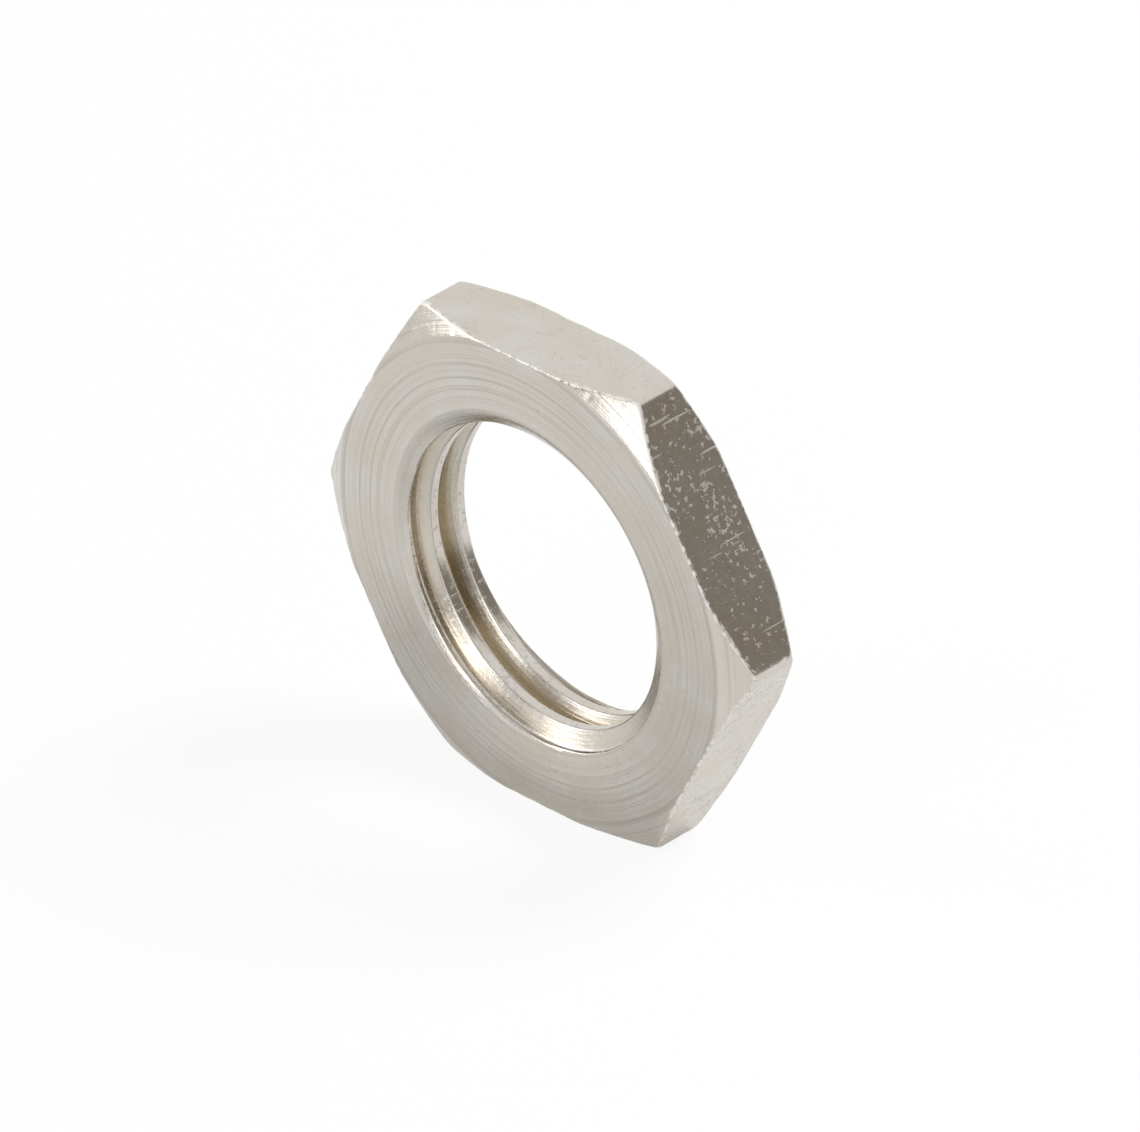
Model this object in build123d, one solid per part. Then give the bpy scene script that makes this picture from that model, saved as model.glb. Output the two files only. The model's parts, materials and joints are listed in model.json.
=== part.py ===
from build123d import *
from build123d.topology import SkipClean
import math
import os

# A thin hexagon lock nut for an M10 x 1 fine thread, made from 14 mm brass hexagon bar.
# It stands on one flat: +Z is up, the thread's axis is along Y and the front face looks along -Y.
# The origin is on the thread's axis, half way through the thickness.

# Hexagon
across_flats = 14.0
thickness = 2.4
bar_corner_radius = 0.4

# Chamfers turned on the corners of both faces. Each face keeps a flat circle that is wider than
# the distance across the flats by its land, so the middle of every flat keeps the full thickness.
chamfer_angle = 30
front_land = 0.25
back_land = 0.4

# Thread: ISO metric profile, right-handed. The allowance is how much the tapping drill is
# over the basic minor diameter, and the turn is where the root crosses mid-thickness.
thread_major = 10.0
thread_pitch = 1.0
drill_allowance = 0.05
flank_angle = 30
thread_turn = -88

# Countersinks at the two mouths of the bore
countersink_half_angle = 53
front_countersink_depth = 0.35
back_countersink_depth = 0.24

# ISO 68-1: the minor diameter is five eighths of the triangle's height in from the major one
# on each side, and the root is an eighth of the pitch wide.
triangle_height = thread_pitch / 2 / math.tan(math.radians(flank_angle))
minor_radius = (thread_major + drill_allowance) / 2 - 5 / 8 * triangle_height
root_radius = thread_major / 2
root_half_width = thread_pitch / 16


def spun(outline, arc=360):
    """A solid of revolution about Z from (radius, height) corners."""
    return revolve(Plane.XZ * make_face(Polyline(*outline, close=True)), Axis.Z, arc)


def hexagon_bar():
    """A slice of drawn hexagon bar, with its corners at 0, 60, 120... degrees."""
    hexagon = RegularPolygon(across_flats / 2, 6, major_radius=False)
    hexagon = fillet(hexagon.vertices(), bar_corner_radius)
    return extrude(hexagon, thickness / 2, both=True)


def chamfer_envelope():
    """The double cone that the corner chamfers lie on."""
    reach = across_flats / math.sqrt(3)
    slope = math.tan(math.radians(chamfer_angle))
    front_radius = (across_flats + front_land) / 2
    back_radius = (across_flats + back_land) / 2
    return spun([
        (0, -thickness / 2),
        (back_radius, -thickness / 2),
        (reach, -thickness / 2 + (reach - back_radius) * slope),
        (reach, thickness / 2 - (reach - front_radius) * slope),
        (front_radius, thickness / 2),
        (0, thickness / 2),
    ])


def bore_halves():
    """The drilled hole at the thread's minor diameter, countersunk at both ends, as two half turns."""
    slope = math.tan(math.radians(countersink_half_angle))
    half = spun([
        (0, -thickness / 2),
        (minor_radius + back_countersink_depth * slope, -thickness / 2),
        (minor_radius, -thickness / 2 + back_countersink_depth),
        (minor_radius, thickness / 2 - front_countersink_depth),
        (minor_radius + front_countersink_depth * slope, thickness / 2),
        (0, thickness / 2),
    ], arc=180)
    return [half, Rot(0, 0, 180) * half]


def thread_turns():
    """The helical groove that the tap cuts, as one cutter for each turn, end to end.

    The section widens towards the bore by the flank angle, and starts an eighth of a pitch
    inside the bore's wall so that the cut is clean. The turns run out past both faces.
    """
    inner_radius = minor_radius - thread_pitch / 8
    inner_half_width = root_half_width + (root_radius - inner_radius) * math.tan(math.radians(flank_angle))
    section = Plane.XZ * make_face(Polyline(
        (inner_radius, -inner_half_width),
        (root_radius, -root_half_width),
        (root_radius, root_half_width),
        (inner_radius, inner_half_width),
        close=True,
    ))
    one_turn = sweep(section, path=Helix(thread_pitch, thread_pitch, root_radius), is_frenet=True)
    turns_each_way = math.ceil(thickness / 2 / thread_pitch + 1 / 2)
    return [
        Rot(0, 0, thread_turn) * Pos(0, 0, turn * thread_pitch) * one_turn
        for turn in range(-turns_each_way, turns_each_way)
    ]


def nut_body():
    """The whole nut, modelled with its axis along Z and its front face up, then stood on a flat.

    The cuts aren't merged, so the bore's wall stays in half cylinders and each thread crest
    is a few short faces, not one that winds round more than once.
    """
    nut = hexagon_bar() & chamfer_envelope()
    with SkipClean():
        for cut in bore_halves() + thread_turns():
            nut -= cut
    return Rot(90, 0, 0) * nut


os.makedirs("parts", exist_ok=True)
export_step(nut_body(), "parts/nut_body.step")
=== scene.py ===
# %% [markdown]
# # A thin hexagon lock nut in nickel-plated brass
#
# The real nut is one piece. It is cut from drawn hexagon bar, faced and chamfered on a lathe,
# drilled, countersunk, tapped with a fine thread and barrel plated with nickel.
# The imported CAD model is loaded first. Its box and its thread mount give the main sizes, so that
# the looks can't drift away from the engineering.

# %% Load the frame
import json
import math

import bpy
from mathutils import Matrix, Vector


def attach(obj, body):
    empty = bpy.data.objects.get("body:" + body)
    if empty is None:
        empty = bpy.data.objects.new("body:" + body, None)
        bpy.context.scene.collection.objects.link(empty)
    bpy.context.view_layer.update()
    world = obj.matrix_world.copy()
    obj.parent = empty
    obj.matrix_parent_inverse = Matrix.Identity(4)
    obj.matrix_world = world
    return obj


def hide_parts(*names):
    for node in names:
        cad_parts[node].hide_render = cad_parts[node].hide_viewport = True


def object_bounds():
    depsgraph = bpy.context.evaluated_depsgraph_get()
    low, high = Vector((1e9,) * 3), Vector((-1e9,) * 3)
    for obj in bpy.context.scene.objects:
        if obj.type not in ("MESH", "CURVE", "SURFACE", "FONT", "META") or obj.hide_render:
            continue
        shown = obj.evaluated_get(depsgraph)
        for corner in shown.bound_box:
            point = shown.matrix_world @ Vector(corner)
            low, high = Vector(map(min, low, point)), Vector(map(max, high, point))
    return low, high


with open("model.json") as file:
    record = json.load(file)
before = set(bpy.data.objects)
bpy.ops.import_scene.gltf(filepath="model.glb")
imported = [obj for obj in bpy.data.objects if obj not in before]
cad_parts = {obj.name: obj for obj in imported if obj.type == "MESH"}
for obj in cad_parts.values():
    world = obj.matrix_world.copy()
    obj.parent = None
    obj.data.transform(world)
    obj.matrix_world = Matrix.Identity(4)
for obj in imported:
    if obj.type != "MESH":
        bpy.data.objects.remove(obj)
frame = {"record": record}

cad_low, cad_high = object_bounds()
cad_size = cad_high - cad_low
print("CAD box, mm:", [round(side * 1000, 3) for side in cad_size])

# %% [markdown]
# ## Sizes
#
# A nut is described by very few numbers. The box of the CAD model gives the distance across the
# flats (its height, because it stands on a flat) and the thickness. The record's thread mount
# gives the radius at the thread's crests. The loaded model doesn't state the rest as numbers, so
# they are repeated here, in millimetres, and have to be changed with the CAD model.

# %% Sizes
MM = 0.001
across_flats = cad_size.z
thickness = cad_size.y
thread_mount = next(m for m in frame["record"]["mounts"] if m["name"] == "thread")
crest_radius = thread_mount["dims"]["r_mm"] * MM

root_radius = 5.0 * MM
pitch = 1.0 * MM
flank_angle = math.radians(30)
thread_turn = math.radians(-88)
corner_radius = 0.4 * MM
chamfer_angle = math.radians(30)
front_land = 0.25 * MM
back_land = 0.4 * MM
countersink_half_angle = math.radians(53)
front_countersink_depth = 0.35 * MM
back_countersink_depth = 0.24 * MM
print("across flats, mm:", round(across_flats / MM, 3), "crest radius:", round(crest_radius / MM, 4))

# %% [markdown]
# ## Camera
#
# A long lens from half a metre away shows a small turned part almost without perspective, which
# is how a catalogue shows hardware. The camera is described by where it stands round the nut
# (azimuth and elevation), how far away it is, a slight roll, and where its axis passes the bore.

# %% Camera
CAMERA_AZIMUTH, CAMERA_ELEVATION, CAMERA_ROLL = 46.43, 31.77, -2.86
CAMERA_DISTANCE = 495.86 * MM
aim_right, aim_up = 0.292 * MM, -0.021 * MM


def toward(azimuth, elevation):
    """The direction from the nut at an azimuth, 0 in front and 90 on the right, and an elevation."""
    around, above = math.radians(azimuth), math.radians(elevation)
    return Vector((math.sin(around) * math.cos(above), -math.cos(around) * math.cos(above), math.sin(above)))


back = toward(CAMERA_AZIMUTH, CAMERA_ELEVATION)
level_right = toward(CAMERA_AZIMUTH + 90, 0)
roll = math.radians(CAMERA_ROLL)
level_up = back.cross(level_right)
right = level_right * math.cos(roll) + level_up * math.sin(roll)
up = level_up * math.cos(roll) - level_right * math.sin(roll)

camera_data = bpy.data.cameras.new("long_lens")
camera_data.sensor_width = 36
camera_data.lens = 587
camera_data.clip_start = 0.01
camera_data.clip_end = 10
camera = bpy.data.objects.new("camera", camera_data)
bpy.context.scene.collection.objects.link(camera)
turn = Matrix((right, up, back)).transposed()
place = back * CAMERA_DISTANCE + right * aim_right + up * aim_up
camera.matrix_world = Matrix.Translation(place) @ turn.to_4x4()
bpy.context.scene.camera = camera
print("camera at, mm:", [round(c / MM, 1) for c in place])

# %% [markdown]
# ## One helper for every node
#
# Shape, finish and backdrop are all node trees. This helper adds a node, fills its inputs in
# order with numbers or with other nodes' outputs, sets its options, and gives back its first
# output, so that a formula reads from top to bottom.

# %% Node helper
MATH = "ShaderNodeMath"


def add_node(tree, kind, *values, named=None, **options):
    """Adds a node of a kind. Values fill its inputs in order, named fills them by name."""
    made = tree.nodes.new(kind)
    for option, value in options.items():
        setattr(made, option, value)
    for where, value in [*enumerate(values), *(named or {}).items()]:
        if isinstance(value, bpy.types.NodeSocket):
            tree.links.new(value, made.inputs[where])
        elif value is not None:
            made.inputs[where].default_value = value
    return made.outputs[0] if made.outputs else None


# %% [markdown]
# ## The shape as one sheet
#
# A nut is a bent ring, so one grid can wrap all of it: the grid's columns go round the axis,
# and its rows go round the section, up the bore's wall, out over the front face, along the
# outside and back in over the rear face. Geometry Nodes place every grid point by a rule.
# A boolean of a hexagon and a screw would also give the shape, but its edges come out razor
# sharp, and here each edge gets the small round that tumbling in a plating barrel leaves.
#
# The rows on the bore's wall climb with the thread, so the crests stay crisp. After a full
# turn they have climbed by one pitch, so there the seam is welded one pitch further on. On the
# outer edges the seam stays open: the noise that makes their rounds wander reads the angle, and
# isn't the same at the end of a turn as at its start. Reading its sine and cosine would close it.

# %% Grid counts
COLUMNS = 600
ROWS_PER_PITCH = 32
FACE_ROWS, CHAMFER_ROWS, EDGE_ROWS, SIDE_ROWS = 16, 8, 4, 18
pitches_above = math.ceil(thickness / 2 / pitch + 0.5)
crest_at_zero = pitch / 2 + pitch * thread_turn / math.tau
first_row = crest_at_zero + pitch * (pitches_above + 0.5 / ROWS_PER_PITCH)
WALL_ROWS = math.ceil((first_row + thickness / 2) / pitch * ROWS_PER_PITCH) + 1
SHELL_ROWS = 2 * (FACE_ROWS + CHAMFER_ROWS + EDGE_ROWS) + SIDE_ROWS
ROWS = WALL_ROWS + SHELL_ROWS
print("grid", COLUMNS, "columns by", ROWS, "rows, of which", WALL_ROWS, "can lie on the wall")

# %% Tree and its named sizes
SNUG = 0.9999  # a hair under size, so that rounding lifts no point out of the CAD box
corner_cut = corner_radius * (1 / math.cos(math.pi / 6) - 1)
thread_depth = root_radius - crest_radius
nut_tree = bpy.data.node_groups.new("turned_and_tapped_nut", "GeometryNodeTree")
sizes = {
    "Half Across Flats": across_flats / 2 * SNUG,
    "Half Thickness": thickness / 2 * SNUG,
    "Corner Blend": 6 * corner_cut,  # the smooth minimum takes a sixth of its blend off a corner
    "Front Face Radius": (across_flats + front_land) / 2,
    "Back Face Radius": (across_flats + back_land) / 2,
    "Chamfer Slope": math.tan(chamfer_angle),
    "Edge Round": 0.075 * MM,
    "Crest Radius": crest_radius,
    "Thread Depth": thread_depth,
    "Pitch": pitch,
    "Crest Half Width": pitch * 7 / 16 - thread_depth * math.tan(flank_angle),
    "Crest At Zero": crest_at_zero,
    "First Row": first_row,
    "Countersink Slope": math.tan(countersink_half_angle),
    "Front Countersink": front_countersink_depth,
    "Back Countersink": back_countersink_depth,
    "Thread Round": 0.05 * MM,
    "Mouth Round": 0.14 * MM,
    "Dent Depth": 0.018 * MM,
}
for name in sizes:
    nut_tree.interface.new_socket(name, in_out="INPUT", socket_type="NodeSocketFloat")
nut_tree.interface.new_socket("Finish", in_out="INPUT", socket_type="NodeSocketMaterial")
nut_tree.interface.new_socket("Nut", in_out="OUTPUT", socket_type="NodeSocketGeometry")
given = {s.name: s for s in add_node(nut_tree, "NodeGroupInput").node.outputs}
print("named sizes:", len(sizes))

# %% [markdown]
# ### Columns: the hexagon
#
# The columns crowd together near the six corners, where the outline bends most. The distance
# from the axis to a flat is half the size across flats over the cosine of the angle from its
# middle. A smooth minimum of the two nearest flats gives the drawn bar's rounded corner.

# %% Columns
BUNCHING = 0.75
grid = add_node(nut_tree, "GeometryNodeMeshGrid", 1.0, 1.0, COLUMNS + 1, ROWS)
start = add_node(nut_tree, "GeometryNodeInputPosition")
column_row = add_node(nut_tree, "ShaderNodeSeparateXYZ", start).node.outputs
sector = add_node(nut_tree, MATH, column_row["X"], 6.0, 3.0, operation="MULTIPLY_ADD")
sector_turn = add_node(nut_tree, MATH, sector, math.tau, operation="MULTIPLY")
sector_sine = add_node(nut_tree, MATH, sector_turn, operation="SINE")
bunched = add_node(nut_tree, MATH, sector_sine, -BUNCHING / math.tau, sector, operation="MULTIPLY_ADD")
angle = add_node(nut_tree, MATH, bunched, math.pi / 3, operation="MULTIPLY")
turns = add_node(nut_tree, MATH, angle, 1 / math.tau, operation="MULTIPLY")

from_corner = add_node(nut_tree, MATH, angle, math.pi / 6, operation="PINGPONG")
flat_radii = []
for side in (-1, 1):
    from_middle = add_node(nut_tree, MATH, from_corner, side, math.pi / 6, operation="MULTIPLY_ADD")
    cosine = add_node(nut_tree, MATH, from_middle, operation="COSINE")
    flat_radii.append(add_node(nut_tree, MATH, given["Half Across Flats"], cosine, operation="DIVIDE"))
outer_radius = add_node(nut_tree, MATH, *flat_radii, given["Corner Blend"], operation="SMOOTH_MIN")
print("columns in each of the six sectors:", COLUMNS // 6)

# %% [markdown]
# ### Rows: where each one lies
#
# The first rows follow the thread up the wall, and stop at the faces: those that would go past
# are pressed onto the mouth's rim and welded there. The others count outwards from the front
# mouth. Four shares from 0 to 1 place them: out over the face, out over the chamfer, round the
# outer edge, and from the front to the back. All but the edge's own are smooth steps, which
# crowd rows together where two surfaces meet. Without that, smooth shading would make every
# edge look soft.

# %% Rows
row_raw = add_node(nut_tree, MATH, column_row["Y"], ROWS - 1, (ROWS - 1) / 2, operation="MULTIPLY_ADD")
row = add_node(nut_tree, MATH, row_raw, operation="ROUND")
climbed = add_node(nut_tree, MATH, row, 1 / ROWS_PER_PITCH, turns, operation="MULTIPLY_ADD")
fallen = add_node(nut_tree, MATH, climbed, given["Pitch"], operation="MULTIPLY")
helix_y = add_node(nut_tree, MATH, given["First Row"], fallen, operation="SUBTRACT")
front_y = add_node(nut_tree, MATH, given["Half Thickness"], -1.0, operation="MULTIPLY")
below_back = add_node(nut_tree, MATH, helix_y, given["Half Thickness"], operation="MINIMUM")
wall_y = add_node(nut_tree, MATH, below_back, front_y, operation="MAXIMUM")

shell_row = add_node(nut_tree, MATH, row, WALL_ROWS - 1, operation="SUBTRACT")
rows_left = add_node(nut_tree, MATH, SHELL_ROWS, shell_row, operation="SUBTRACT")
from_mouth = add_node(nut_tree, MATH, shell_row, rows_left, operation="MINIMUM")
shares = []
counted = 0
for count, counter in ((FACE_ROWS, from_mouth), (CHAMFER_ROWS, from_mouth),
                       (EDGE_ROWS, from_mouth), (SIDE_ROWS, shell_row)):
    spread = "LINEAR" if count == EDGE_ROWS else "SMOOTHSTEP"
    shares.append(add_node(nut_tree, "ShaderNodeMapRange", counter, counted, counted + count,
                           interpolation_type=spread))
    counted += count
over_face, over_chamfer, round_edge, to_back = shares
on_shell = add_node(nut_tree, MATH, shell_row, 0.5, operation="GREATER_THAN")
past_middle = add_node(nut_tree, MATH, to_back, 0.5, operation="GREATER_THAN")
print("rows from the front mouth round to the back mouth:", SHELL_ROWS)

# %% [markdown]
# ### The tapped wall
#
# Along the axis, the wall's radius is a simple wave: a flat crest, a flank at 30 degrees from
# square, a flat root. The nearest crest is found by folding the height back and forth over half
# a pitch. The countersinks are two cones, and the largest of the three radii is what is left
# after all the cuts. Smooth maximum and minimum keep small rounds where the cuts meet.

# %% Wall radius
to_back_rim = add_node(nut_tree, MATH, given["Half Thickness"], wall_y, operation="SUBTRACT")
cut_y = add_node(nut_tree, MATH, to_back_rim, past_middle, wall_y, operation="MULTIPLY_ADD")
helix_drop = add_node(nut_tree, MATH, turns, given["Pitch"], cut_y, operation="MULTIPLY_ADD")
from_zero = add_node(nut_tree, MATH, helix_drop, given["Crest At Zero"], operation="SUBTRACT")
half_pitch = add_node(nut_tree, MATH, given["Pitch"], 0.5, operation="MULTIPLY")
from_crest = add_node(nut_tree, MATH, from_zero, half_pitch, operation="PINGPONG")
past_crest = add_node(nut_tree, MATH, from_crest, given["Crest Half Width"], operation="SUBTRACT")
flank = add_node(nut_tree, MATH, past_crest, 1 / math.tan(flank_angle), operation="MULTIPLY")
above_crest = add_node(nut_tree, MATH, flank, 0.0, given["Thread Round"], operation="SMOOTH_MAX")
groove = add_node(nut_tree, MATH, above_crest, given["Thread Depth"], given["Thread Round"],
                  operation="SMOOTH_MIN")

FLARE = 0.45  # how far the mouth's rim opens out, as a share of the Mouth Round
wall_depth = groove
for way, countersink in ((1, "Front Countersink"), (-1, "Back Countersink")):
    inside = add_node(nut_tree, MATH, cut_y, way, given["Half Thickness"], operation="MULTIPLY_ADD")
    short = add_node(nut_tree, MATH, given[countersink], inside, operation="SUBTRACT")
    cone = add_node(nut_tree, MATH, short, given["Countersink Slope"], operation="MULTIPLY")
    rim = add_node(nut_tree, MATH, given["Mouth Round"], inside, operation="SUBTRACT")
    rim_inside = add_node(nut_tree, MATH, rim, 0.0, operation="MAXIMUM")
    rim_share = add_node(nut_tree, MATH, rim_inside, given["Mouth Round"], operation="DIVIDE")
    flare = add_node(nut_tree, MATH, rim_inside, rim_share, operation="MULTIPLY")
    flared = add_node(nut_tree, MATH, flare, FLARE, cone, operation="MULTIPLY_ADD")
    wall_depth = add_node(nut_tree, MATH, wall_depth, flared, given["Thread Round"], operation="SMOOTH_MAX")
wall_radius = add_node(nut_tree, MATH, given["Crest Radius"], wall_depth, operation="ADD")
print("thread depth, mm:", round(thread_depth / MM, 3))

# %% [markdown]
# ### Faces, chamfers and rounded edges
#
# A face is flat out to its circle and then falls away at 30 degrees, which is the chamfer that
# the lathe turns on the corners. The rows change from face to chamfer exactly on that circle,
# or where the flat cuts it off. The last rows roll over the edge on a short curve: the radius
# comes up to the outline as the height leaves the face, so it starts along one and ends along
# the other. The round's size wanders a little, as it does where parts knock together in a barrel.

# %% Shell radius and height
edge_noise = add_node(nut_tree, "ShaderNodeCombineXYZ", angle, past_middle, 0.0)
wander = add_node(nut_tree, "ShaderNodeTexNoise", named={"Vector": edge_noise, "Scale": 9.0, "Detail": 3.0})
worn_share = add_node(nut_tree, "ShaderNodeMapRange", wander, 0.3, 0.7, 0.55, 1.5)
edge_size = add_node(nut_tree, MATH, given["Edge Round"], worn_share, operation="MULTIPLY")
edge_start = add_node(nut_tree, MATH, outer_radius, edge_size, operation="SUBTRACT")

sides = []
for face in ("Front Face Radius", "Back Face Radius"):
    face_end = add_node(nut_tree, MATH, edge_start, given[face], operation="MINIMUM")
    face_width = add_node(nut_tree, MATH, face_end, wall_radius, operation="SUBTRACT")
    face_radius = add_node(nut_tree, MATH, face_width, over_face, wall_radius, operation="MULTIPLY_ADD")
    chamfer_width = add_node(nut_tree, MATH, edge_start, face_end, operation="SUBTRACT")
    side_radius = add_node(nut_tree, MATH, chamfer_width, over_chamfer, face_radius, operation="MULTIPLY_ADD")
    sides.append(side_radius)
other_side = add_node(nut_tree, MATH, sides[1], sides[0], operation="SUBTRACT")
flat_radius = add_node(nut_tree, MATH, other_side, past_middle, sides[0], operation="MULTIPLY_ADD")
edge_left = add_node(nut_tree, MATH, 2.0, round_edge, operation="SUBTRACT")
edge_rise = add_node(nut_tree, MATH, edge_left, round_edge, operation="MULTIPLY")
radius = add_node(nut_tree, MATH, edge_rise, edge_size, flat_radius, operation="MULTIPLY_ADD")
edge_square = add_node(nut_tree, MATH, round_edge, round_edge, operation="MULTIPLY")
edge_lift = add_node(nut_tree, MATH, edge_square, edge_size, operation="MULTIPLY")

depths = []
for face in ("Front Face Radius", "Back Face Radius"):
    past_face = add_node(nut_tree, MATH, radius, given[face], operation="SUBTRACT")
    slope = add_node(nut_tree, MATH, past_face, given["Chamfer Slope"], operation="MULTIPLY")
    chamfer = add_node(nut_tree, MATH, slope, 0.0, given["Thread Round"], operation="SMOOTH_MAX")
    depths.append(add_node(nut_tree, MATH, chamfer, edge_lift, operation="ADD"))
shell_front = add_node(nut_tree, MATH, front_y, depths[0], operation="ADD")
shell_back = add_node(nut_tree, MATH, given["Half Thickness"], depths[1], operation="SUBTRACT")
front_to_back = add_node(nut_tree, MATH, shell_back, shell_front, operation="SUBTRACT")
shell_y = add_node(nut_tree, MATH, front_to_back, to_back, shell_front, operation="MULTIPLY_ADD")
off_wall = add_node(nut_tree, MATH, shell_y, wall_y, operation="SUBTRACT")
height = add_node(nut_tree, MATH, off_wall, on_shell, wall_y, operation="MULTIPLY_ADD")
print("rounded edge, mm:", round(sizes["Edge Round"] / MM, 3))

# %% [markdown]
# ### Points
#
# An angle, a radius and a height make a point. The rounded edges are marked with an attribute,
# so that the finish can find them. The grid comes out facing inwards, and is turned over.

# %% Place the points and weld them
angle_cosine = add_node(nut_tree, MATH, angle, operation="COSINE")
angle_sine = add_node(nut_tree, MATH, angle, operation="SINE")
x = add_node(nut_tree, MATH, radius, angle_cosine, operation="MULTIPLY")
z = add_node(nut_tree, MATH, radius, angle_sine, operation="MULTIPLY")
point = add_node(nut_tree, "ShaderNodeCombineXYZ", x, height, z)
edge_zone = add_node(nut_tree, MATH, round_edge, 0.5, 0.45, operation="COMPARE")
marked = add_node(nut_tree, "GeometryNodeStoreNamedAttribute", grid, None, "edge", edge_zone,
                  data_type="FLOAT", domain="POINT")
placed = add_node(nut_tree, "GeometryNodeSetPosition", marked, None, point)
turned_out = add_node(nut_tree, "GeometryNodeFlipFaces", placed)
welded = add_node(nut_tree, "GeometryNodeMergeByDistance", turned_out, None, 0.0002 * MM)

# %% [markdown]
# ### Dents
#
# Nuts fall on each other in the barrel, so the soft brass under the plate has shallow dents.
# They only ever go in, along the surface's normal, so that the nut keeps its size.

# %% Dents
here = add_node(nut_tree, "GeometryNodeInputPosition")
here_mm = add_node(nut_tree, "ShaderNodeVectorMath", here, (1 / MM,) * 3, operation="MULTIPLY")
dent_noise = add_node(nut_tree, "ShaderNodeTexNoise", named={"Vector": here_mm, "Scale": 2.2, "Detail": 2.0})
dent = add_node(nut_tree, "ShaderNodeMapRange", dent_noise, 0.6, 0.78, interpolation_type="SMOOTHSTEP")
from_axis = add_node(nut_tree, "ShaderNodeVectorMath", here_mm, (1, 0, 1), operation="MULTIPLY")
axis_length = add_node(nut_tree, "ShaderNodeVectorMath", from_axis, operation="LENGTH")
outside = add_node(nut_tree, "ShaderNodeMapRange", axis_length.node.outputs["Value"], 6.6, 7.1)
dent_outside = add_node(nut_tree, MATH, dent, outside, operation="MULTIPLY")
dent_depth = add_node(nut_tree, MATH, dent_outside, given["Dent Depth"], operation="MULTIPLY")
inward = add_node(nut_tree, MATH, dent_depth, -1.0, operation="MULTIPLY")
normal = add_node(nut_tree, "GeometryNodeInputNormal")
push = add_node(nut_tree, "ShaderNodeVectorMath", normal, named={"Scale": inward}, operation="SCALE")
dented = add_node(nut_tree, "GeometryNodeSetPosition", welded, None, None, push)
smooth = add_node(nut_tree, "GeometryNodeSetShadeSmooth", dented)
realized = add_node(nut_tree, "GeometryNodeRealizeInstances", smooth)
finished = add_node(nut_tree, "GeometryNodeSetMaterial", realized, None, given["Finish"])
add_node(nut_tree, "NodeGroupOutput", finished)
print("nodes in the nut's tree:", len(nut_tree.nodes))

# %% [markdown]
# ## Finish: nickel plate on turned brass
#
# Nickel is a white metal with a warm, slightly yellow tone. On the real nut the plate is a few
# micrometres thick, so what was done to the brass still shows through it: rings on the turned
# faces, and dents and scratches from the barrel. Bump and roughness change how the room is
# mirrored, and do most of the work. The finest marks are lost in soft light, so the rings also get
# painted shade, dark lines in their colour, and the rounded edges get a painted highlight, a
# lighter colour. The thread's groove is browner, where brass shows.

# %% Colours and coordinates
def linear(hex_colour):
    """An sRGB hex colour such as "#CFCAC2" as the linear RGBA that shaders use."""
    channels = [int(hex_colour[i:i + 2], 16) / 255 for i in (1, 3, 5)]
    return (*(c / 12.92 if c <= 0.04045 else ((c + 0.055) / 1.055) ** 2.4 for c in channels), 1.0)


def new_finish(name):
    """A material with an empty node tree."""
    made = bpy.data.materials.new(name)
    made.use_nodes = True
    made.node_tree.nodes.clear()
    return made


nickel = new_finish("nickel_plated_brass")
plate = nickel.node_tree
coordinates = add_node(plate, "ShaderNodeTexCoord").node.outputs
in_mm = add_node(plate, "ShaderNodeVectorMath", coordinates["Object"], (1 / MM,) * 3, operation="MULTIPLY")
off_axis = add_node(plate, "ShaderNodeVectorMath", in_mm, (1, 0, 1), operation="MULTIPLY")
axis_mm = add_node(plate, "ShaderNodeVectorMath", off_axis, operation="LENGTH").node.outputs["Value"]
faces_y = add_node(plate, "ShaderNodeSeparateXYZ", coordinates["Normal"]).node.outputs["Y"]
squareness = add_node(plate, MATH, faces_y, operation="ABSOLUTE")
turned = add_node(plate, "ShaderNodeMapRange", squareness, 0.3, 0.6)
in_bore = add_node(plate, "ShaderNodeMapRange", axis_mm, 5.1, 4.95)
print("finish on", nickel.name)

# %% [markdown]
# ### Turning rings
#
# A lathe tool that is fed a tenth of a millimetre a turn leaves rings that far apart. Here they
# are coarser, six to a millimetre, so that they show. They are noise along the radius alone,
# bent a little by slow noise so that they aren't drawn with a compass, and they come and go
# round the face where the plating has filled them.

# %% Rings
RINGS_PER_MM = 6
patches = add_node(plate, "ShaderNodeTexNoise", named={"Vector": in_mm, "Scale": 0.35, "Detail": 2.0})
bent = add_node(plate, MATH, patches, 0.12, axis_mm, operation="MULTIPLY_ADD")
rings = add_node(plate, "ShaderNodeTexNoise", noise_dimensions="1D",
                 named={"W": bent, "Scale": RINGS_PER_MM, "Detail": 4.0, "Roughness": 0.65})
ring_show = add_node(plate, "ShaderNodeMapRange", patches, 0.35, 0.65, 0.3, 1.0)
ring_size = add_node(plate, MATH, ring_show, turned, operation="MULTIPLY")
ring_height = add_node(plate, MATH, rings, ring_size, operation="MULTIPLY")
print("rings are", round(1 / RINGS_PER_MM, 2), "mm apart")

# %% [markdown]
# ### Grain, specks and scratches
#
# The flats show the barrel's work: shallow pits, tiny specks where parts knocked together and
# short scratches. Each of the four scratch sets is noise stretched twenty times along its own
# direction and cut off high, which leaves separate strokes. Pits are cells of a Voronoi pattern,
# about a millimetre apart, of which the few with a high random value hold a dark spot.

# %% Specks and scratches
grain = add_node(plate, "ShaderNodeTexNoise", named={"Vector": in_mm, "Scale": 5.0, "Detail": 5.0})
speck_noise = add_node(plate, "ShaderNodeTexNoise",
                       named={"Vector": in_mm, "Scale": 6.5, "Detail": 3.0, "Roughness": 0.6})
speck_patch = add_node(plate, "ShaderNodeTexNoise", named={"Vector": in_mm, "Scale": 0.8, "Detail": 1.0})
speck_level = add_node(plate, MATH, speck_patch, 0.25, speck_noise, operation="MULTIPLY_ADD")
specks = add_node(plate, "ShaderNodeMapRange", speck_level, 0.725, 0.78)

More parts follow.
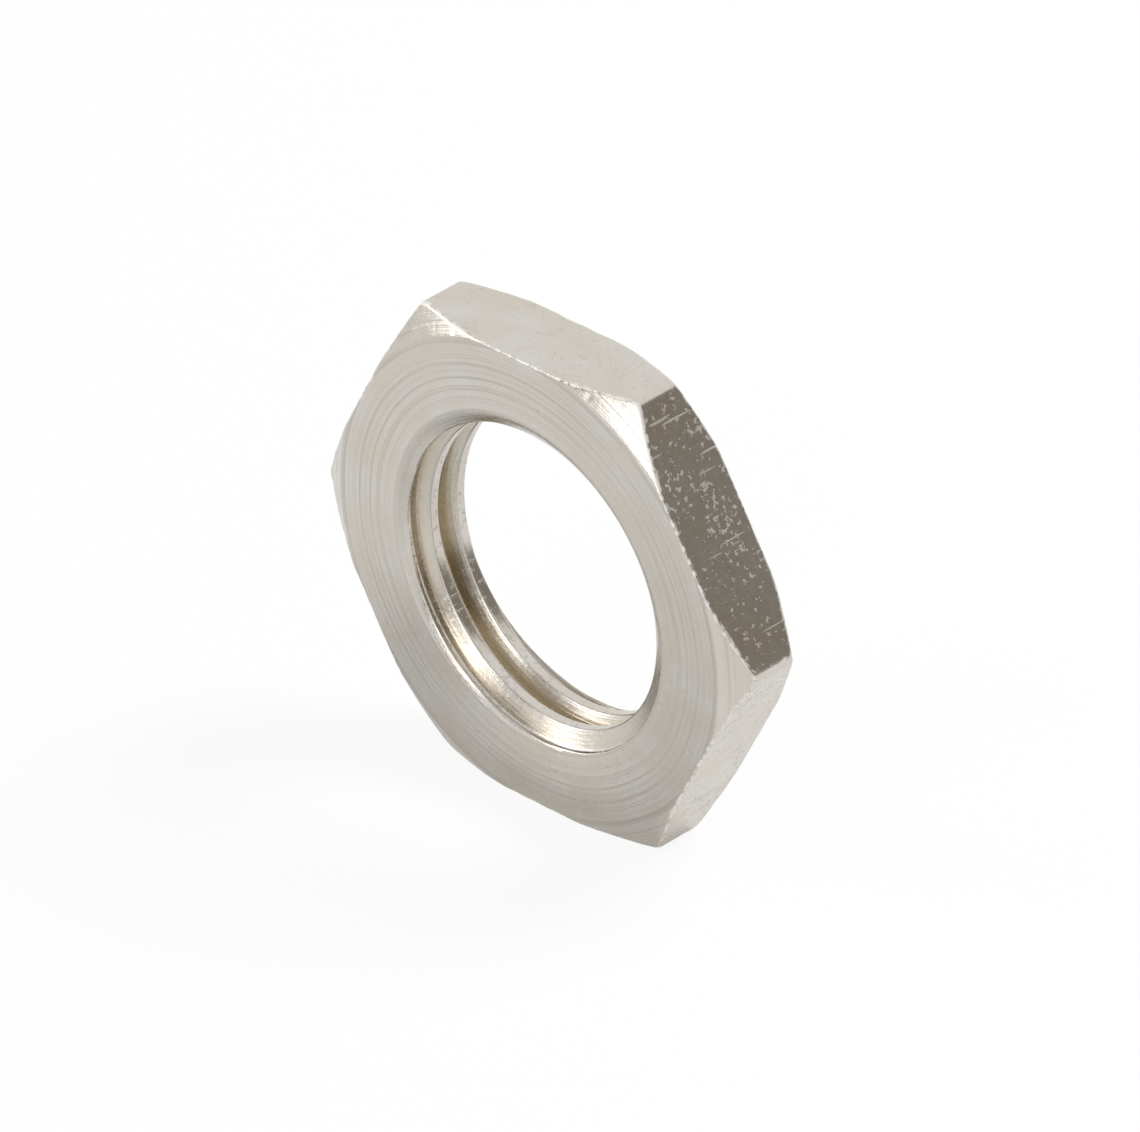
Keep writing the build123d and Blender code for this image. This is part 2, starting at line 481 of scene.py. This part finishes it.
scratches = None
for turn_xyz in ((0.3, 0.7, 0.2), (1.1, 2.1, 0.9), (2.0, 0.4, 2.6), (0.2, 1.5, 1.5)):
    turned_xyz = add_node(plate, "ShaderNodeMapping", in_mm, None, turn_xyz, (9.0, 0.45, 9.0))
    strokes = add_node(plate, "ShaderNodeTexNoise", named={"Vector": turned_xyz, "Scale": 1.0, "Detail": 1.0})
    cut = add_node(plate, "ShaderNodeMapRange", strokes, 0.75, 0.79)
    scratches = cut if scratches is None else add_node(plate, MATH, scratches, cut, operation="MAXIMUM")

pit_cells = add_node(plate, "ShaderNodeTexVoronoi", named={"Vector": in_mm, "Scale": 1.1}).node.outputs
pit_pick = add_node(plate, "ShaderNodeSeparateColor", pit_cells["Color"]).node.outputs["Red"]
pit_size = add_node(plate, "ShaderNodeMapRange", pit_pick, 0.7, 1.0, 0.0, 0.09)
pits = add_node(plate, "ShaderNodeMapRange", pit_cells["Distance"], pit_size, 0.0)
print("nodes so far:", len(plate.nodes))

# %% [markdown]
# ### Colour, roughness and bump
#
# Two nickel tones are mottled together, then each mark is laid over the last one: brass in the
# groove, painted shade on the rings, a painted highlight on the rounded edges, and dark pits.
# Marks are rougher than the plate round them, so on a flat that mirrors something dark they look bright.

# %% Colour and roughness
tone = add_node(plate, "ShaderNodeTexNoise", named={"Vector": in_mm, "Scale": 0.7, "Detail": 4.0})
tone_share = add_node(plate, "ShaderNodeMapRange", tone, 0.35, 0.65)
plate_colour = add_node(plate, "ShaderNodeMix", data_type="RGBA",
                        named={0: tone_share, 6: linear("#CCC5BA"), 7: linear("#D0CCC6")}).node.outputs[2]
groove_share = add_node(plate, "ShaderNodeMapRange", axis_mm, 4.55, 4.85)
along_y = add_node(plate, "ShaderNodeSeparateXYZ", in_mm).node.outputs["Y"]
from_middle = add_node(plate, MATH, along_y, operation="ABSOLUTE")
past_mouth = add_node(plate, "ShaderNodeMapRange", from_middle, 0.95, 0.75)
inner_groove = add_node(plate, MATH, groove_share, past_mouth, operation="MULTIPLY")
thin_plate = add_node(plate, MATH, inner_groove, in_bore, operation="MULTIPLY")
bore_colour = add_node(plate, "ShaderNodeMix", data_type="RGBA",
                       named={0: thin_plate, 6: plate_colour, 7: linear("#C9BDA8")}).node.outputs[2]
# Painted shade: the rings are darkened towards a grey in the colour, on top of the shade that their bump
# makes.
painted_ring_shade_line = add_node(plate, "ShaderNodeMapRange", rings, 0.5, 0.7, 0.0, 0.55)
ring_shade = add_node(plate, MATH, painted_ring_shade_line, ring_size, operation="MULTIPLY")
colour_with_painted_ring_shade = add_node(plate, "ShaderNodeMix", data_type="RGBA",
                         named={0: ring_shade, 6: bore_colour, 7: linear("#9C958A")}).node.outputs[2]
# Painted highlight: broken patches of the rounded edges get a lighter colour in place of the bright line that
# light makes there, and these patches are also rougher, as worn edges are.
edge_band = add_node(plate, "ShaderNodeAttribute", attribute_name="edge").node.outputs["Fac"]
edge_patches = add_node(plate, "ShaderNodeMapRange", grain, 0.42, 0.55)
burr_and_painted_highlight = add_node(plate, MATH, edge_band, edge_patches, operation="MULTIPLY")
colour_with_painted_highlight = add_node(plate, "ShaderNodeMix", data_type="RGBA",
                         named={0: burr_and_painted_highlight, 6: colour_with_painted_ring_shade, 7: linear("#E6E3DE")}).node.outputs[2]
colour = add_node(plate, "ShaderNodeMix", data_type="RGBA",
                  named={0: pits, 6: colour_with_painted_highlight, 7: linear("#5A5246")}).node.outputs[2]

all_marks = add_node(plate, MATH, specks, scratches, operation="MAXIMUM")
on_flats = add_node(plate, "ShaderNodeMapRange", turned, 0.0, 1.0, 1.0, 0.25)
flat_marks = add_node(plate, MATH, all_marks, on_flats, operation="MULTIPLY")
marks = add_node(plate, MATH, flat_marks, burr_and_painted_highlight, operation="MAXIMUM")
smoothness = add_node(plate, "ShaderNodeMapRange", grain, 0.3, 0.7, 0.17, 0.27)
roughness = add_node(plate, MATH, marks, 0.35, smoothness, operation="MULTIPLY_ADD")
print("plate roughness 0.17 to 0.27, and 0.35 more on a mark")

# %% Bump
marks_height = add_node(plate, MATH, marks, -0.9, grain, operation="MULTIPLY_ADD")
pits_height = add_node(plate, MATH, pits, -2.0, marks_height, operation="MULTIPLY_ADD")
barrel_bump = add_node(plate, "ShaderNodeBump",
                       named={"Strength": 1.0, "Distance": 0.004 * MM, "Height": pits_height})
ring_bump = add_node(plate, "ShaderNodeBump",
                     named={"Strength": 1.0, "Distance": 0.022 * MM, "Height": ring_height,
                            "Normal": barrel_bump})
surface = add_node(plate, "ShaderNodeBsdfPrincipled",
                   named={"Base Color": colour, "Metallic": 1.0, "Roughness": roughness, "Normal": ring_bump})
add_node(plate, "ShaderNodeOutputMaterial", surface)
print("nodes in the finish:", len(plate.nodes))

# %% [markdown]
# ## Make the nut
#
# The modifier's inputs are set by their identifiers before it first runs. The evaluated result
# becomes a plain mesh, which stands for the CAD body and rides on it.

# %% Make the nut
nut_maker = bpy.data.objects.new("nut_maker", bpy.data.meshes.new("nut_maker"))
bpy.context.scene.collection.objects.link(nut_maker)
modifier = nut_maker.modifiers.new("shape", "NODES")
modifier.node_group = nut_tree
identifiers = {item.name: item.identifier for item in nut_tree.interface.items_tree}
for name, value in {**sizes, "Finish": nickel}.items():
    modifier[identifiers[name]] = value
evaluated = nut_maker.evaluated_get(bpy.context.evaluated_depsgraph_get())
nut_mesh = bpy.data.meshes.new_from_object(evaluated)
bpy.data.objects.remove(nut_maker)

nut = bpy.data.objects.new("plated_nut_body", nut_mesh)
bpy.context.scene.collection.objects.link(nut)
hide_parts("nut_body")
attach(nut, "root")
triangles = sum(len(face.vertices) - 2 for face in nut_mesh.polygons)
print("plated nut:", len(nut_mesh.vertices), "vertices,", triangles, "triangles")

# %% [markdown]
# ## Floor
#
# The floor is plain white paper. Camera and mirror rays see it partly lit from within, so that
# it stays white, and the rest of its brightness comes from the lights, so it keeps the shadow.

# %% Floor
FLOOR_SIDE = 3.0


def flat_mesh(name, half_wide, half_high, level=0.0):
    """A rectangle about the Z axis, at a level along it."""
    corners = [(x * half_wide, y * half_high, level) for x, y in ((-1, -1), (1, -1), (1, 1), (-1, 1))]
    made = bpy.data.meshes.new(name)
    made.from_pydata(corners, [], [(0, 1, 2, 3)])
    return made


floor_mesh = flat_mesh("floor", FLOOR_SIDE / 2, FLOOR_SIDE / 2, cad_low.z)
floor = bpy.data.objects.new("floor", floor_mesh)
bpy.context.scene.collection.objects.link(floor)

paper = new_finish("white_paper")
paper_tree = paper.node_tree
rays = add_node(paper_tree, "ShaderNodeLightPath").node.outputs
matt = add_node(paper_tree, "ShaderNodeBsdfDiffuse", linear("#FAFAFA"))
glow = add_node(paper_tree, "ShaderNodeEmission", linear("#FFFFFF"), 1.0)
to_camera = add_node(paper_tree, MATH, rays["Is Camera Ray"], 0.88, operation="MULTIPLY")
to_metal = add_node(paper_tree, MATH, rays["Is Glossy Ray"], 0.2, operation="MULTIPLY")
share = add_node(paper_tree, MATH, to_camera, to_metal, operation="MAXIMUM")
paper_surface = add_node(paper_tree, "ShaderNodeMixShader", share, matt, glow)
add_node(paper_tree, "ShaderNodeOutputMaterial", paper_surface)
floor_mesh.materials.append(paper)
print("floor at, mm:", round(cad_low.z / MM, 3))

# %% [markdown]
# ## Room
#
# The camera and the metal see a white room. The rest of the light that it gives is under half
# of that, which leaves space for the key light to cast a soft shadow on the floor.

# %% Room
world = bpy.data.worlds.new("studio")
world.use_nodes = True
room = world.node_tree
room.nodes.clear()
room_rays = add_node(room, "ShaderNodeLightPath").node.outputs
room_light = add_node(room, "ShaderNodeBackground", linear("#FFFFFF"), 0.44)
white_back = add_node(room, "ShaderNodeBackground", linear("#FFFFFF"), 1.0)
direct = add_node(room, MATH, room_rays["Is Camera Ray"], room_rays["Is Glossy Ray"], operation="MAXIMUM")
room_surface = add_node(room, "ShaderNodeMixShader", direct, room_light, white_back)
add_node(room, "ShaderNodeOutputWorld", room_surface)
bpy.context.scene.world = world
bpy.context.scene.view_settings.view_transform = "Standard"
print("room:", world.name)

# %% [markdown]
# ## Softboxes and dark cards
#
# A bright metal part in an all-white room looks flat, because it has only white to mirror. A
# photographer gives it shape with softboxes, which make the highlights on the chamfers and in
# the bore, and with dark cards, which make the dark flat on the right. All stand on a sphere
# round the nut. Each is given by its azimuth, its elevation and half its size, in degrees as
# seen from the nut, and a softbox also by how bright it looks. The camera sees none of them.

# %% Softboxes and dark cards
STUDIO_RADIUS = 0.3


def aimed(thing, azimuth, elevation):
    """Puts a lamp or card on the studio's sphere, square to the nut."""
    away = toward(azimuth, elevation)
    thing.matrix_world = (Matrix.Translation(away * STUDIO_RADIUS)
                          @ away.to_track_quat("Z", "Y").to_matrix().to_4x4())
    thing.visible_camera = False
    bpy.context.scene.collection.objects.link(thing)


def half_side(degrees):
    """Half the side of a thing on the sphere that spans this many degrees from its middle."""
    return STUDIO_RADIUS * math.tan(math.radians(degrees))


softboxes = {
    "front_softbox": (4, 19, 15, 9, 3.2),
    "left_softbox": (-56, 19, 11, 11, 3.0),
}
for name, (azimuth_deg, elevation_deg, half_wide, half_high, radiance) in softboxes.items():
    lamp = bpy.data.lights.new(name, "AREA")
    lamp.shape = "RECTANGLE"
    lamp.size, lamp.size_y = 2 * half_side(half_wide), 2 * half_side(half_high)
    lamp.energy = radiance * math.pi * lamp.size * lamp.size_y
    aimed(bpy.data.objects.new(name, lamp), azimuth_deg, elevation_deg)

dark_card = new_finish("dark_card")
card_glow = add_node(dark_card.node_tree, "ShaderNodeEmission", linear("#FFF6E8"), 0.28)
add_node(dark_card.node_tree, "ShaderNodeOutputMaterial", card_glow)
cards = {
    "side_card": (128, 16, 34, 26),
    "gap_card": (-27, 29, 9, 9),
    "horizon_card": (5, 1, 26, 6),
}
for name, (azimuth_deg, elevation_deg, half_wide, half_high) in cards.items():
    card_mesh = flat_mesh(name, half_side(half_wide), half_side(half_high))
    card_mesh.materials.append(dark_card)
    card = bpy.data.objects.new(name, card_mesh)
    aimed(card, azimuth_deg, elevation_deg)
    card.visible_shadow = False
    card.visible_diffuse = False
print(len(softboxes), "softboxes and", len(cards), "dark cards")

# %% [markdown]
# ## Key light
#
# A round lamp high behind the nut throws its shadow forwards, which is what darkens the lower
# part of the front face: that part mirrors the floor just in front. The metal doesn't mirror
# the lamp itself.

# %% Key light
KEY_SIZE, KEY_WATTS = 0.16, 0.62
key = bpy.data.lights.new("key", "AREA")
key.shape = "DISK"
key.size = KEY_SIZE
key.energy = KEY_WATTS
key_object = bpy.data.objects.new("key", key)
aimed(key_object, 150, 50)
key_object.visible_glossy = False
print("key light, W:", KEY_WATTS)
